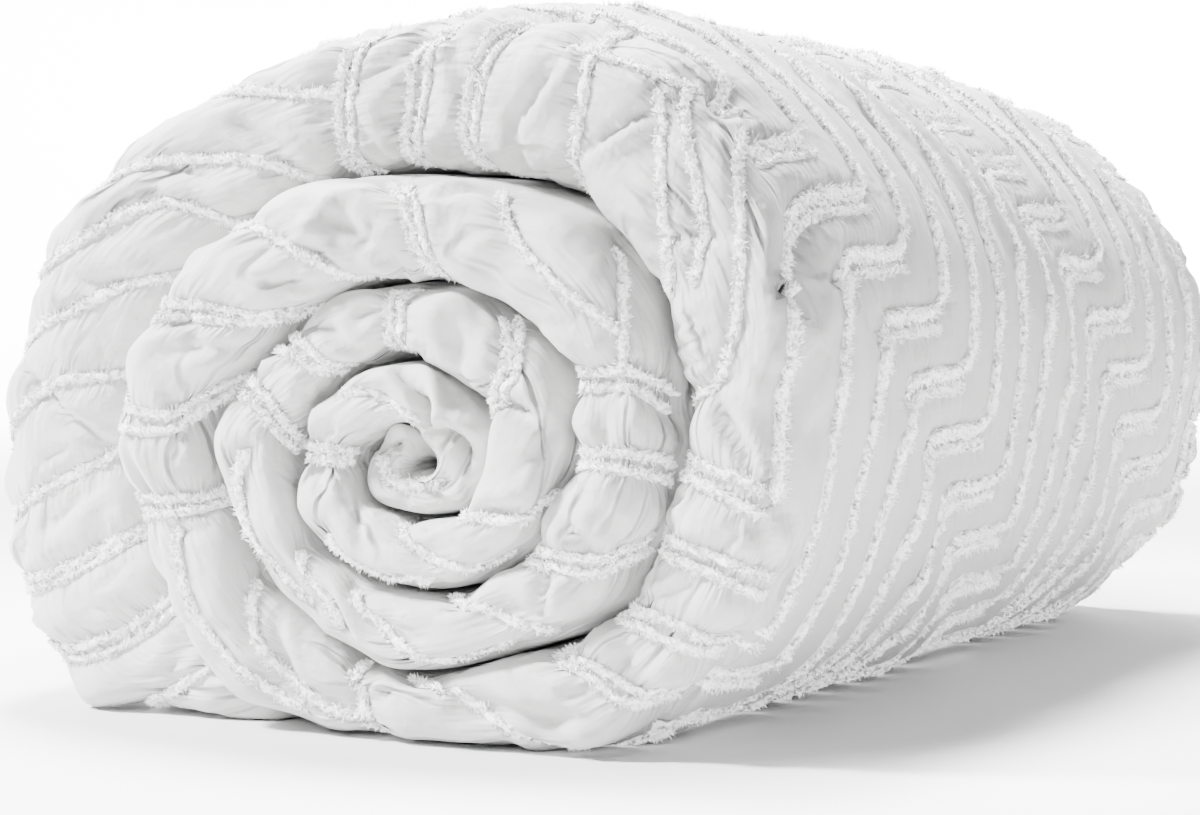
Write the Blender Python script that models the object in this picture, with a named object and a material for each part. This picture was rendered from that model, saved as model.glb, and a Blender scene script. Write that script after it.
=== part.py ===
"""Tufted duvet, folded lengthwise and rolled up, as one filled solid.

The folded duvet is a thick pad. It is wound round a curl and lies on its flat underside,
with its loose end tucked into the corner between the roll and the surface. Metres, +Z up.
The roll runs along Y, and the end with the round folds and the visible spiral faces -Y.
"""
import math

import bmesh
import bpy
import numpy as np
from mathutils import Vector
from mathutils.geometry import tessellate_polygon

PART_NAME = "tufted_duvet"
NODE_NAME = "duvet"

# The roll: its length, the height of the curl's centre, and the least sine that points down
ROLL_LENGTH = 0.770
CURL_HEIGHT = 0.144
LEVEL = 0.05

# The pad's outer face, from the curl outwards. The turn is counted from +X, anticlockwise as
# seen from the front. Radius runs from the curl's centre, and set back from the foremost fold.
WINDING = (
    # turn in degrees, radius, set back
    (-345, 0.008, 0.046),
    (-300, 0.017, 0.040),
    (-250, 0.023, 0.034),
    (-200, 0.029, 0.030),
    (-150, 0.032, 0.028),
    (-104, 0.026, 0.026),
    (-55, 0.031, 0.022),
    (-19, 0.045, 0.018),
    (10, 0.055, 0.014),
    (50, 0.054, 0.010),
    (95, 0.056, 0.010),
    (135, 0.061, 0.014),
    (170, 0.069, 0.014),
    (210, 0.067, 0.010),
    (260, 0.064, 0.006),
    (300, 0.071, 0.004),
    (335, 0.085, 0.002),
    (365, 0.100, 0.004),
    (396, 0.108, 0.008),
    (430, 0.099, 0.012),
    (470, 0.100, 0.014),
    (505, 0.108, 0.010),
    (530, 0.122, 0.006),
    (555, 0.109, 0.004),
    (590, 0.102, 0.002),
    (630, 0.108, 0.000),
    (662, 0.114, 0.002),
    (700, 0.146, 0.004),
    (735, 0.163, 0.006),
    (765, 0.170, 0.008),
    (805, 0.155, 0.010),
    (840, 0.167, 0.008),
    (887, 0.188, 0.002),
    (925, 0.166, 0.000),
    (948, 0.167, 0.002),
    (966, 0.156, 0.004),
    (990, 0.148, 0.004),
    (1020, 0.176, 0.006),
    (1050, 0.206, 0.008),
    (1080, 0.222, 0.012),
    (1110, 0.252, 0.022),
    (1140, 0.261, 0.032),
    (1170, 0.245, 0.038),
    (1200, 0.250, 0.038),
    (1230, 0.279, 0.032),
    (1260, 0.291, 0.026),
    (1283, 0.287, 0.022),
    (1296, 0.256, 0.024),
    (1318, 0.216, 0.040),
)
TURN_STEP = 0.25

# The back end lies a little unevenly, by this much once in so many degrees of turn
BACK_WAVE = 0.006
BACK_WAVE_TURN = 110.0

# The pad between two windings
LAYER_GAP = 0.0016
CORE_THICKNESS = 0.036
CORE_HOLE = 0.0025
CORE_TURN = 235.0
TIP_THICKNESS = 0.005

# Round folds at both ends, as deep as a share of the pad's thickness
FOLD_SHARE = 0.62
FOLD_DEPTH_MIN = 0.012
FOLD_DEPTH_MAX = 0.044
FOLD_ROUNDNESS = 0.86
FLOOR_ROUNDNESS = 0.45
FLOOR_REACH = 0.030
FRONT_STEPS = 7
BACK_STEPS = 4

# The roll narrows over a shoulder at each end, and sinks towards the back
END_DRAW_IN = 0.985
BACK_DRAW_IN = 0.955
SHOULDER = 0.13
SINK_FROM = 0.26
SINK = 0.095
SINK_CURVE = 1.5

# Rows across the pad, and the sewn strips that nip its folds
ROW = 0.0165
CORE_ROW = 0.00825
CORE_ROWS_TO = 300.0
STRIP_PITCH = 0.0495
STRIP_NIP = 0.005
STRIP_PINCH = 0.07
PUFF_ROUNDNESS = 0.6

# Tufted lines on the outer wrap: each runs round the roll, slanting a little, and steps sideways once a repeat
LINE_SPACING = 0.037
LINE_STEP = 0.078
LINE_SLANT = 0.016
LINES_A_REPEAT = 6
ROWS_A_LINE = 2
ROWS_A_REPEAT = LINES_A_REPEAT * ROWS_A_LINE
STEP_SLANT = 0.004
RIB_HEIGHT = 0.006
RIB_HALF_WIDTH = 0.009
RIB_MARGIN = 0.003
RIBS_FROM = 1012.0
RIBS_TO = 1296.0
FIRST_STEP_ROW = 149
FIRST_STEP_Y = 0.188
LINE_COUNT = 40

SHARP_ANGLE = 50.0
COTTON_WHITE = (0.86, 0.86, 0.86, 1.0)
COTTON_ROUGHNESS = 0.9


def table_curve(turns, column):
    """A smooth curve through one column of the winding table."""
    table = np.array(WINDING)
    known, values = table[:, 0], table[:, column]
    slopes = np.gradient(values, known)
    turns = np.clip(turns, known[0], known[-1])
    at = np.clip(np.searchsorted(known, turns, side="right") - 1, 0, len(known) - 2)
    width = known[at + 1] - known[at]
    part = (turns - known[at]) / width
    rest = 1.0 - part
    ends = values[at] * rest * rest * (1.0 + 2.0 * part) + values[at + 1] * part * part * (3.0 - 2.0 * part)
    return ends + width * part * rest * (slopes[at] * rest - slopes[at + 1] * part)


def outer_radius(turns, scale=1.0):
    """Distance from the curl to the pad's outer face, cut off flat at the floor."""
    down = -np.sin(np.radians(turns))
    floor = np.where(down > LEVEL, CURL_HEIGHT / np.maximum(down, LEVEL), np.inf)
    return np.minimum(table_curve(turns, 1) * scale, floor)


def inner_radius(turns, scale=1.0):
    """Distance from the curl to the pad's inner face."""
    outer = outer_radius(turns, scale)
    has_turn_below = turns - 360.0 >= WINDING[0][0]
    below = np.where(has_turn_below, outer_radius(turns - 360.0, scale) + LAYER_GAP, CORE_HOLE)
    core = np.where(turns < CORE_TURN, outer - CORE_THICKNESS, CORE_HOLE)
    inner = np.maximum(np.maximum(below, core), CORE_HOLE)
    return np.minimum(inner, outer - TIP_THICKNESS)


def row_turns():
    """The turn of every row of points, a set distance apart along the pad's outer face."""
    turns = np.arange(WINDING[0][0], WINDING[-1][0] + TURN_STEP / 2.0, TURN_STEP)
    step = np.radians(TURN_STEP) * 0.5 * (outer_radius(turns[1:]) + outer_radius(turns[:-1]))
    along = np.concatenate([[0.0], np.cumsum(step)])
    core_end = np.interp(CORE_ROWS_TO, turns, along)
    core_count = int(core_end / ROW) * int(ROW / CORE_ROW)
    rows = np.concatenate([
        np.arange(core_count) * CORE_ROW,
        np.arange(core_count * CORE_ROW, along[-1], ROW),
    ])
    return rows, turns, along


def draw_in(y):
    """How much the roll narrows towards its two ends."""
    front = np.clip(1.0 - y / SHOULDER, 0.0, 1.0) ** 2
    back = np.clip(1.0 - (ROLL_LENGTH - y) / SHOULDER, 0.0, 1.0) ** 2
    return 1.0 - (1.0 - END_DRAW_IN) * front - (1.0 - BACK_DRAW_IN) * back


def sink(y):
    """How much lower the roll lies towards the back, as a share of its height."""
    return 1.0 - SINK * max((y - SINK_FROM) / (ROLL_LENGTH - SINK_FROM), 0.0) ** SINK_CURVE


class Pad:
    """Rows of points round the wound pad, and the faces between them."""

    def __init__(self):
        self.mesh = bmesh.new()
        self.rows, self.turns, self.along = row_turns()

    def place(self, turn, radius, y):
        """A point from its turn, its radius and its distance from the front."""
        angle = math.radians(turn)
        height = (CURL_HEIGHT + radius * math.sin(angle)) * sink(y)
        return self.mesh.verts.new((radius * math.cos(angle), y, max(height, 0.0)))

    def fold(self, turn, outer, inner, edge, depth, steps, direction):
        """Points of one round fold, squarer where it is pressed on the floor."""
        middle, half = 0.5 * (outer + inner), 0.5 * (outer - inner)
        clear = (CURL_HEIGHT + outer * math.sin(math.radians(turn))) / FLOOR_REACH
        roundness = FLOOR_ROUNDNESS + (FOLD_ROUNDNESS - FLOOR_ROUNDNESS) * min(max(clear, 0.0), 1.0)
        points = []
        for step in range(1, steps):
            angle = math.pi * step / steps
            across = math.copysign(abs(math.cos(angle)) ** roundness, math.cos(angle))
            out = math.sin(angle) ** roundness
            points.append(self.place(turn, middle + half * across, edge - direction * depth * out))
        return points

    def row(self, number):
        """All points of one row, as front fold, outer face, back fold and inner face."""
        along = self.rows[number]
        turn = float(np.interp(along, self.along, self.turns))
        thickness = float(outer_radius(turn) - inner_radius(turn))
        puff = abs(math.sin(math.pi * along / STRIP_PITCH)) ** PUFF_ROUNDNESS
        depth = min(max(FOLD_SHARE * thickness, FOLD_DEPTH_MIN), FOLD_DEPTH_MAX)
        front = float(table_curve(turn, 2)) + STRIP_NIP * (1.0 - puff)
        wave = math.sin(math.radians(turn * 360.0 / BACK_WAVE_TURN))
        back = ROLL_LENGTH - BACK_WAVE * (1.0 + wave)
        row = {"turn": turn, "near": front + depth, "far": back - depth, "outer": {}, "inner": []}
        ends = (
            ("near", "front", FRONT_STEPS, 1.0, FOLD_DEPTH_MAX),
            ("far", "back", BACK_STEPS, -1.0, ROLL_LENGTH - FOLD_DEPTH_MAX),
        )
        for end, fold, steps, direction, drawn_at in ends:
            y = row[end]
            scale = draw_in(drawn_at)
            outer, inner = float(outer_radius(turn, scale)), float(inner_radius(turn, scale))
            nip = 0.5 * (outer - inner) * STRIP_PINCH * (1.0 - puff)
            row["outer"][end] = (self.place(turn, outer, y), along, y)
            row["inner"].append(self.place(turn, inner, y))
            row[fold] = self.fold(turn, outer - nip, inner + nip, y, depth, steps, direction)
        return row

    def line_point(self, row, key, along, y, height):
        """A point of a tufted line on the outer wrap."""
        turn = float(np.interp(along, self.along, self.turns))
        radius = float(outer_radius(turn, draw_in(y))) - RIB_HEIGHT + height
        row["outer"][key] = (self.place(turn, radius, y), along, y)

    def add_lines(self, row, number):
        """The foot, crest and foot of each tufted line where a row crosses it."""
        along = self.rows[number]
        reach = RIB_HALF_WIDTH + RIB_MARGIN
        for line in range(-LINE_COUNT, LINE_COUNT):
            place = round(along / ROW) - FIRST_STEP_ROW + ROWS_A_LINE * line
            steps, phase = divmod(place, ROWS_A_REPEAT)
            y = FIRST_STEP_Y + LINE_SPACING * line + LINE_STEP * steps + LINE_SLANT * place / ROWS_A_REPEAT
            if y - reach < row["near"] or y + reach > row["far"]:
                continue
            shift = {ROWS_A_REPEAT - 1: STEP_SLANT, 0: -STEP_SLANT}.get(phase, 0.0)
            turned = RIB_HALF_WIDTH if shift else 0.0
            self.line_point(row, (line, 0), along + shift + turned, y - RIB_HALF_WIDTH, 0.0)
            self.line_point(row, (line, 1), along + shift, y, RIB_HEIGHT)
            self.line_point(row, (line, 2), along + shift - turned, y + RIB_HALF_WIDTH, 0.0)

    def join_outer(self, first, second):
        """Faces of the outer side between two rows, matched line by line."""
        def ordered(row):
            lines = sorted(key for key in row["outer"] if isinstance(key, tuple))
            return ["near"] + lines + ["far"]
        keys_a, keys_b = ordered(first), ordered(second)
        shared = [key for key in keys_a if key in keys_b]
        for left, right in zip(shared, shared[1:]):
            side_a = keys_a[keys_a.index(left):keys_a.index(right) + 1]
            side_b = keys_b[keys_b.index(left):keys_b.index(right) + 1]
            loop = [first["outer"][key] for key in side_a]
            loop += [second["outer"][key] for key in reversed(side_b)]
            flat = [Vector((along, y, 0.0)) for _, along, y in loop]
            for corners in tessellate_polygon([flat]):
                self.mesh.faces.new([loop[corner][0] for corner in corners])

    def join(self, first, second):
        """Faces between two neighbouring rows."""
        ring_a = [first["outer"]["near"][0], *first["front"], first["inner"][0]]
        ring_b = [second["outer"]["near"][0], *second["front"], second["inner"][0]]
        self.strip(ring_a, ring_b)
        ring_a = [first["outer"]["far"][0], *first["back"], first["inner"][1]]
        ring_b = [second["outer"]["far"][0], *second["back"], second["inner"][1]]
        self.strip(ring_a, ring_b)
        self.strip(list(first["inner"]), list(second["inner"]))
        self.join_outer(first, second)

    def strip(self, ring_a, ring_b):
        """A run of four-sided faces between two rows of points."""
        for step in range(len(ring_a) - 1):
            self.mesh.faces.new((ring_a[step], ring_a[step + 1], ring_b[step + 1], ring_b[step]))

    def close(self, row):
        """The thin end face of the pad."""
        loop = [row["outer"]["near"][0], *row["front"], *row["inner"], *reversed(row["back"])]
        loop.append(row["outer"]["far"][0])
        self.mesh.faces.new(loop)

    def build(self):
        """The whole wound pad as one closed mesh."""
        rows = []
        for number in range(len(self.rows)):
            row = self.row(number)
            if RIBS_FROM < row["turn"] < RIBS_TO:
                self.add_lines(row, number)
            rows.append(row)
        for first, second in zip(rows, rows[1:]):
            self.join(first, second)
        self.close(rows[0])
        self.close(rows[-1])
        bmesh.ops.recalc_face_normals(self.mesh, faces=self.mesh.faces)
        return self.mesh


def centre_on_base(mesh):
    """Move the pad so that its box stands centred on the origin."""
    places = np.array([tuple(vert.co) for vert in mesh.verts])
    middle = 0.5 * (places.min(axis=0) + places.max(axis=0))
    bmesh.ops.translate(mesh, vec=(-middle[0], -middle[1], 0.0), verts=mesh.verts)


def cotton():
    """White cotton cover."""
    material = bpy.data.materials.new("white_cotton")
    material.use_nodes = True
    shader = material.node_tree.nodes["Principled BSDF"]
    shader.inputs["Base Color"].default_value = COTTON_WHITE
    shader.inputs["Roughness"].default_value = COTTON_ROUGHNESS
    shader.inputs["Metallic"].default_value = 0.0
    return material


def main():
    """Build the duvet in its own collection."""
    for item in list(bpy.data.objects):
        bpy.data.objects.remove(item, do_unlink=True)
    collection = bpy.data.collections.new(PART_NAME)
    bpy.context.scene.collection.children.link(collection)
    mesh = Pad().build()
    centre_on_base(mesh)
    data = bpy.data.meshes.new(NODE_NAME)
    mesh.to_mesh(data)
    mesh.free()
    data.materials.append(cotton())
    data.shade_smooth()
    data.set_sharp_from_angle(angle=math.radians(SHARP_ANGLE))
    duvet = bpy.data.objects.new(NODE_NAME, data)
    collection.objects.link(duvet)


main()
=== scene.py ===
"""Tufted duvet, folded lengthwise and rolled up: the filled cover, its tufting and a studio.

The cover is wound from named sizes, filled up between its sewn lines, and dressed with rows of
cut cotton yarn. Metres, +Z up, the roll along Y with its open folds facing -Y.
"""
import math

import bmesh
import bpy
import numpy as np
from bpy.props import FloatProperty, FloatVectorProperty, PointerProperty
from mathutils import Matrix, Vector, kdtree, noise


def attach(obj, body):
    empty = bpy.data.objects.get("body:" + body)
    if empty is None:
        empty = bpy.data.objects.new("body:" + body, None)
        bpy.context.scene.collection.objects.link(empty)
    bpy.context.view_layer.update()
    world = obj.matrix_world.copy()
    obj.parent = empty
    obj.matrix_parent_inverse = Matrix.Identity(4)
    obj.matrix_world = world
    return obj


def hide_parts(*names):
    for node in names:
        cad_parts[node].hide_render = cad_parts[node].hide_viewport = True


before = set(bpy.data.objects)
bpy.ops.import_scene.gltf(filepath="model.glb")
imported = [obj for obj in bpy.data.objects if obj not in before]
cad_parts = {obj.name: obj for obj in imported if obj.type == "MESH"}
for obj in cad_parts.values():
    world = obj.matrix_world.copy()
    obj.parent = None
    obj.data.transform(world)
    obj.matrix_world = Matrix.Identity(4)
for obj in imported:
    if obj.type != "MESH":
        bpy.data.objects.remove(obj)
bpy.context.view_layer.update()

bl_info = {
    "name": "Tufted duvet",
    "version": (1, 0, 0),
    "blender": (4, 5, 0),
    "location": "3D View > Sidebar > Duvet",
    "description": "Winds, fills and tufts a rolled duvet",
    "category": "Add Mesh",
}

# The wound pad, as in the solid: size, height of the curl's centre, and its place in the frame
ROLL_LENGTH = 0.770
CURL_HEIGHT = 0.144
LEVEL = 0.05
CURL_X = 0.0309
FRONT_Y = -0.3849

# The pad's outer face, from the curl outwards
WINDING = (
    # turn in degrees, radius, set back
    (-345, 0.008, 0.046),
    (-300, 0.017, 0.040),
    (-250, 0.023, 0.034),
    (-200, 0.029, 0.030),
    (-150, 0.032, 0.028),
    (-104, 0.026, 0.026),
    (-55, 0.031, 0.022),
    (-19, 0.045, 0.018),
    (10, 0.055, 0.014),
    (50, 0.054, 0.010),
    (95, 0.056, 0.010),
    (135, 0.061, 0.014),
    (170, 0.069, 0.014),
    (210, 0.067, 0.010),
    (260, 0.064, 0.006),
    (300, 0.071, 0.004),
    (335, 0.085, 0.002),
    (365, 0.100, 0.004),
    (396, 0.108, 0.008),
    (430, 0.099, 0.012),
    (470, 0.100, 0.014),
    (505, 0.108, 0.010),
    (530, 0.122, 0.006),
    (555, 0.109, 0.004),
    (590, 0.102, 0.002),
    (630, 0.108, 0.000),
    (662, 0.114, 0.002),
    (700, 0.146, 0.004),
    (735, 0.163, 0.006),
    (765, 0.170, 0.008),
    (805, 0.155, 0.010),
    (840, 0.167, 0.008),
    (887, 0.188, 0.002),
    (925, 0.166, 0.000),
    (948, 0.167, 0.002),
    (966, 0.156, 0.004),
    (990, 0.148, 0.004),
    (1020, 0.176, 0.006),
    (1050, 0.206, 0.008),
    (1080, 0.222, 0.012),
    (1110, 0.252, 0.022),
    (1140, 0.261, 0.032),
    (1170, 0.245, 0.038),
    (1200, 0.250, 0.038),
    (1230, 0.279, 0.032),
    (1260, 0.291, 0.026),
    (1283, 0.287, 0.022),
    (1296, 0.256, 0.024),
    (1318, 0.216, 0.040),
)
TURN_STEP = 0.25
BACK_WAVE = 0.006
BACK_WAVE_TURN = 110.0

# The pad between two windings
LAYER_GAP = 0.0012
CORE_THICKNESS = 0.036
CORE_HOLE = 0.0025
CORE_TURN = 235.0
TIP_THICKNESS = 0.005
TIP_LENGTH = 0.027
TIP_ROUNDNESS = 0.985

# Round folds at both ends
FOLD_SHARE = 0.62
FOLD_DEPTH_MIN = 0.012
FOLD_DEPTH_MAX = 0.044
FOLD_ROUNDNESS = 0.62
FLOOR_ROUNDNESS = 0.45
FLOOR_REACH = 0.030
TEMPLATE_POINTS = 721

# The roll narrows over a shoulder at each end, and sinks towards the back
END_DRAW_IN = 0.985
BACK_DRAW_IN = 0.955
SHOULDER = 0.13
SINK_FROM = 0.26
SINK = 0.095
SINK_CURVE = 1.5

# Rows across the pad and columns round its section, and the turn where the outer wrap begins.
# Under the outer wrap the cover has few columns, crowded towards its edges.
ROW = 0.0045
ROW_CROWDING = 1.15
WRAP_FROM = 992.0
FOLD_COLUMNS = 32
BACK_COLUMNS = 16
INNER_COLUMNS = 5
INNER_CROWDING = 1.6
MERGE_DISTANCE = 0.00001
COVERED = (0.0, 0.005, 0.011, 0.02, 0.035, 0.08, 0.25, 0.5, 0.75, 0.92, 0.965, 0.985, 1.0)
SIDE_COLUMNS = 140
SIDE_CROWDING = 1.15

# Tufted lines on the outer wrap
LINE_SPACING = 0.037
LINE_STEP = 0.078
LINE_REPEAT = 0.198
LINE_SLANT = 0.016
STEP_ALONG = 149 * 0.0165
FIRST_STEP_Y = 0.188
LINE_FALL = LINE_REPEAT / 6.0
STEP_SLANT = 0.002
CORNER_RADIUS = 0.013
LINES_FROM = 1012.0
LINES_TO = 1300.0
LINE_WANDER = 0.0022
LINE_WANDER_PITCH = 0.045
LINE_LEAN = -0.35
LINE_PULL = 0.35
STEP_PULL = 1.25
STEP_FULLNESS = 0.15

# more lines and steps than the wrap holds: what falls beyond it is cut off
LINES = range(-24, 26)
STEPS = range(-8, 9)

# share of the roll's length where the lines pass from the front piece to the back piece
LINES_PART_AT = 0.4

# a line counts as turning where it runs across at more than this share of its run along, and its
# row grows fuller towards the turn over so many points of its path
TURNING_SLOPE = 0.6
TURNING_POINTS = 9

# How a tufted row is sewn: the step of its path, the fewest points that are sewn, the distance of
# two rows at a step, the flat bed of a row, and how far rows reach over the edge of a fold
PATH_STEP = 0.0015
FEWEST_POINTS = 8
FRINGE_GAP = 0.0105
ROW_BED = 0.0025
EDGE_REACH = 0.012

# values of a random curve, and how far apart two lines, rows or seams start on the one they share
CURVE_VALUES = 4096
LINE_CURVE_SHIFT = 17.0
ROW_CURVE_SHIFT = 50.0
SEAM_CURVE_SHIFT = 37.0

# The row below a step: its far end, its bend and its tail, from the corners of the step
LOWER_ROW_END = (0.001, 0.003)
LOWER_ROW_BEND = 0.012
LOWER_ROW_TAIL = (1.4 * FRINGE_GAP, 0.001)
LOWER_ROW_SIZE = 0.85
LOWER_ROW_LEAN = 0.25

# Rows over the folds at both ends, single or as a pair that leans apart. The front rows pass both
# edges of the fold a little, and those near the curl are a piece of their own.
SINGLE_SIZE = 0.82
SINGLE_PULL = 0.75
PAIR_SIZE = 0.74
PAIR_PULL = 1.0
PAIR_LEAN = 0.35
ROW_SWAY = 0.0012
ROW_SWAY_PITCH = 0.020
COMMON_SWAY = 0.4
STRIP_SHARES = (-0.06, 1.03)
STRIP_LEAST_MORE = 0.004
ASKEW_RADIUS = 0.020
INNER_FOLDS_TO = 1.9
BACK_PITCH = 0.0535
BACK_PAIR_GAP = 0.009
BACK_SLANT = (-0.010, 0.010)
BACK_BOW = (-0.005, 0.008)
BACK_OVERLAP = 0.012
BACK_REACH = 0.020

# Below the first step the lines are drawn over towards the front folds, whose rows then meet them:
# where and by how much, fading towards the back, and how near to the fold's edge the lines then end
DRAWN_FROM = 2.500
DRAWN_OVER = 0.070
DRAWN = 0.040
DRAWN_REACH = 0.120
DRAWN_EDGE = 0.045
MET_BELOW = 2.335
MET_AT = -0.004

# Rows that cross the front folds
FRONT_STRIPS = (
    # along at the inner edge, in the middle, at the outer edge, gap of the pair (0 where single)
    (0.341, 0.338, 0.341, 0.008),
    (0.452, 0.480, 0.520, 0.000),
    (0.530, 0.540, 0.562, 0.000),
    (0.620, 0.640, 0.675, 0.008),
    (0.745, 0.740, 0.737, 0.010),
    (0.805, 0.812, 0.825, 0.010),
    (0.890, 0.858, 0.854, 0.008),
    (1.118, 1.152, 1.163, 0.000),
    (1.200, 1.212, 1.232, 0.010),
    (1.285, 1.282, 1.271, 0.009),
    (1.345, 1.332, 1.309, 0.010),
    (1.485, 1.510, 1.540, 0.007),
    (1.545, 1.606, 1.655, 0.000),
    (1.640, 1.690, 1.722, 0.009),
    (1.740, 1.776, 1.760, 0.010),
    (1.827, 1.832, 1.827, 0.009),
    (2.020, 2.034, 2.048, 0.000),
    (2.065, 2.118, 2.165, 0.000),
    (2.186, 2.200, 2.210, 0.009),
    (2.242, 2.250, 2.250, 0.010),
    (2.305, 2.299, 2.289, 0.010),
    (2.580, 2.618, 2.632, 0.000),
    (2.678, 2.700, 2.667, 0.009),
    (2.765, 2.745, 2.720, 0.010),
    (2.822, 2.800, 2.768, 0.010),
    (3.128, 3.176, 3.205, 0.000),
    (3.203, 3.238, 3.232, 0.007),
    (3.276, 3.300, 3.262, 0.010),
    (3.362, 3.354, 3.345, 0.000),
)

# Single rows that run askew over the front folds, each through a few places
ASKEW_ROWS = (
    # along, share of the way over the fold, and so on
    ((0.297, 0.70), (0.283, 0.62), (0.271, 0.45), (0.250, 0.28), (0.225, 0.27)),
    ((0.050, 0.55), (0.083, 0.40), (0.120, 0.40), (0.150, 0.45)),
    ((0.893, 0.45), (0.920, 0.62), (0.945, 0.68), (0.975, 0.62), (1.010, 0.70)),
    ((0.395, 0.62), (0.414, 0.74), (0.440, 0.82), (0.475, 0.86)),
    ((0.975, 0.15), (0.989, 0.29), (1.003, 0.43), (1.021, 0.53), (1.035, 0.66)),
    ((1.030, 0.10), (1.054, 0.36), (1.067, 0.47), (1.081, 0.60), (1.098, 0.80), (1.120, 0.88), (1.145, 0.90)),
    ((1.400, 0.95), (1.385, 0.87), (1.371, 0.76), (1.355, 0.73), (1.343, 0.64), (1.332, 0.58)),
    ((1.475, 0.97), (1.460, 0.70), (1.440, 0.54), (1.403, 0.50), (1.371, 0.57), (1.350, 0.67)),
    ((1.845, 0.48), (1.877, 0.57), (1.909, 0.60), (1.965, 0.60), (1.985, 0.66), (2.000, 0.75)),
    ((1.905, 0.15), (1.930, 0.38), (1.965, 0.49), (1.992, 0.54), (2.029, 0.64), (2.045, 0.74)),
    ((2.364, 0.05), (2.357, 0.40), (2.348, 0.60), (2.340, 0.78)),
    ((2.353, 0.05), (2.346, 0.40), (2.336, 0.57), (2.329, 0.78)),
    ((2.535, 0.93), (2.520, 0.77), (2.484, 0.65), (2.447, 0.54), (2.424, 0.50), (2.410, 0.43), (2.398, 0.12)),
    ((2.582, 0.72), (2.566, 0.62), (2.534, 0.44), (2.502, 0.35), (2.474, 0.24)),
    ((2.572, 0.86), (2.557, 0.69), (2.532, 0.60), (2.497, 0.50), (2.470, 0.38)),
    ((2.645, 0.70), (2.610, 0.72), (2.585, 0.77), (2.562, 0.90)),
    ((2.800, 0.52), (2.835, 0.58), (2.880, 0.76), (2.920, 1.00)),
    ((3.000, 0.90), (2.968, 0.72), (2.934, 0.61), (2.911, 0.50), (2.883, 0.42), (2.860, 0.27), (2.848, 0.08)),
    ((3.075, 0.98), (3.030, 0.68), (2.980, 0.54), (2.950, 0.45), (2.938, 0.31), (2.925, 0.08)),
    ((3.115, 0.98), (3.085, 0.74), (3.067, 0.58), (3.044, 0.46), (3.003, 0.26), (2.988, 0.05)),
    ((3.165, 0.98), (3.140, 0.71), (3.118, 0.60), (3.104, 0.48), (3.094, 0.30), (3.078, 0.05)),
)

# Folds and welts pressed into the cloth on the front folds
CREASES = (
    # along and share at both ends, depth (below 0 for a welt), half width
    (0.052, 0.86, 0.030, 0.50, 0.0140, 0.0050),
    (0.095, 0.35, 0.108, 0.70, 0.0040, 0.0045),
    (0.128, 0.10, 0.134, 0.80, 0.0078, 0.0050),
    (0.206, 0.36, 0.160, 0.74, 0.0170, 0.0056),
    (0.250, 0.30, 0.285, 0.62, 0.0060, 0.0045),
    (0.252, 0.86, 0.206, 0.36, 0.0170, 0.0056),
    (0.330, 0.62, 0.372, 0.40, 0.0050, 0.0045),
    (0.395, 0.10, 0.430, 0.55, 0.0047, 0.0055),
    (0.540, 0.85, 0.592, 0.70, 0.0043, 0.0045),
    (0.545, 0.35, 0.556, 0.70, 0.0062, 0.0045),
    (0.612, 0.90, 0.575, 0.55, 0.0047, 0.0045),
    (0.644, 0.28, 0.590, 0.80, 0.0080, 0.0046),
    (0.668, 0.30, 0.700, 0.70, 0.0031, 0.0060),
    (0.770, 0.25, 0.792, 0.62, 0.0040, 0.0050),
    (1.010, 0.35, 1.045, 0.66, 0.0050, 0.0048),
    (1.204, 0.36, 1.172, 0.68, 0.0074, 0.0042),
    (1.243, 0.35, 1.225, 0.60, 0.0031, 0.0060),
    (1.360, 0.20, 1.320, 0.60, 0.0040, 0.0050),
    (1.515, 0.25, 1.590, 0.66, 0.0047, 0.0050),
    (1.552, 0.75, 1.600, 0.45, -0.0034, 0.0045),
    (1.585, 0.22, 1.640, 0.40, 0.0050, 0.0045),
    (1.690, 0.15, 1.735, 0.60, 0.0040, 0.0055),
    (1.690, 0.70, 1.715, 0.35, 0.0050, 0.0045),
    (1.790, 0.62, 1.842, 0.60, 0.0053, 0.0045),
    (1.845, 0.60, 1.857, 0.30, 0.0040, 0.0045),
    (1.940, 0.22, 1.985, 0.55, 0.0050, 0.0048),
    (2.120, 0.45, 2.185, 0.60, 0.0047, 0.0060),
    (2.330, 0.12, 2.338, 0.45, 0.0037, 0.0050),
    (2.330, 0.70, 2.298, 0.90, 0.0055, 0.0040),
    (2.404, 0.38, 2.352, 0.66, 0.0075, 0.0040),
    (2.410, 0.10, 2.405, 0.55, 0.0037, 0.0050),
    (2.420, 0.52, 2.396, 0.72, 0.0028, 0.0042),
    (2.428, 0.16, 2.424, 0.40, 0.0030, 0.0034),
    (2.440, 0.56, 2.420, 0.74, 0.0028, 0.0042),
    (2.441, 0.18, 2.436, 0.44, 0.0034, 0.0034),
    (2.454, 0.20, 2.448, 0.44, 0.0030, 0.0034),
    (2.480, 0.62, 2.520, 0.30, 0.0055, 0.0048),
    (2.574, 0.64, 2.602, 0.36, 0.0087, 0.0044),
    (2.640, 0.66, 2.662, 0.36, 0.0053, 0.0050),
    (2.640, 0.20, 2.668, 0.42, 0.0053, 0.0045),
    (2.720, 0.80, 2.790, 0.50, 0.0053, 0.0060),
    (2.850, 0.30, 2.880, 0.60, 0.0047, 0.0055),
    (2.915, 0.40, 2.955, 0.66, 0.0047, 0.0050),
    (3.010, 0.25, 3.050, 0.70, 0.0037, 0.0060),
    (3.097, 0.74, 3.158, 0.18, 0.0087, 0.0042),
    (3.175, 0.30, 3.215, 0.62, 0.0043, 0.0055),
    (3.245, 0.60, 3.290, 0.40, 0.0043, 0.0055),
)

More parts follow.
